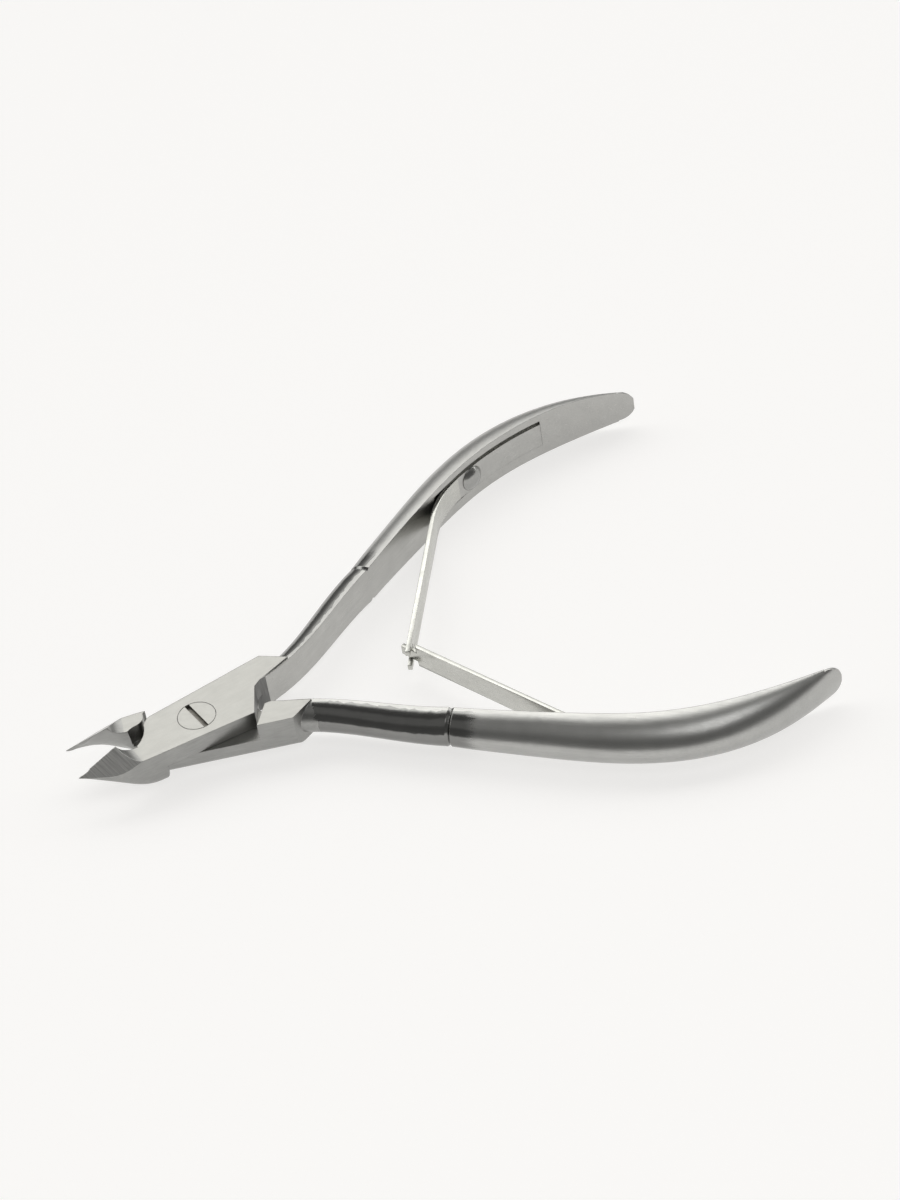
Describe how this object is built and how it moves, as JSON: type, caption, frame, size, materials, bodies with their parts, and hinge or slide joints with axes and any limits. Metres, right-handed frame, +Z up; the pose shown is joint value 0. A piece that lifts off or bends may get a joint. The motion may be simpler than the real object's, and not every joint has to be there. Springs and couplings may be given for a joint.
{
  "type": "cuticle nipper",
  "caption": "Hand nipper for trimming cuticles: lapped steel arms on a slotted pivot screw, sprung open by riveted, interlocking leaf springs.",
  "frame": {"origin": "on the pivot axis, at the underside of the lap joint", "axes": "+X from the jaws back along the centre line to the handles' ends, +Y towards the upper arm's handle, +Z up the pivot axis to the screw's slotted head"},
  "size_m": [0.1045, 0.0816, 0.0087],
  "materials": {
    "arm_steel": "polished handles, satin jaws and joint",
    "screw_steel": "ground flush",
    "spring_steel": "satin",
    "rivet_steel": "satin"
  },
  "bodies": {
    "lower_arm": {"lower_handle_arm": "arm_steel", "pivot_screw": "screw_steel", "lower_spring_rivet": "rivet_steel"},
    "upper_arm": {"upper_handle_arm": "arm_steel", "upper_spring_rivet": "rivet_steel"},
    "upper_leaf": {"upper_spring_leaf": "spring_steel"},
    "lower_leaf": {"lower_spring_leaf": "spring_steel"}
  },
  "joints": [
    {"name": "arm_pivot", "type": "hinge", "parent": "lower_arm", "child": "upper_arm", "pos_m": [0, 0, 0.0029], "axis": [0, 0, -1], "range_deg": [0, 18.3], "stiffness_Nm_per_rad": 2},
    {"name": "upper_leaf_flex", "type": "hinge", "parent": "upper_arm", "child": "upper_leaf", "pos_m": [0.0498, 0.0278, 0.0029], "axis": [0, 0, -1], "range_deg": [0, 13], "deforming": ["upper_spring_leaf"]},
    {"name": "lower_leaf_flex", "type": "hinge", "parent": "lower_arm", "child": "lower_leaf", "pos_m": [0.0498, -0.0278, 0.0029], "axis": [0, 0, 1], "range_deg": [0, 13], "deforming": ["lower_spring_leaf"]}
  ],
  "couplings": [
    {"joint": "upper_leaf_flex", "follows": "arm_pivot", "ratio": 0.7},
    {"joint": "lower_leaf_flex", "follows": "arm_pivot", "ratio": 0.7}
  ]
}
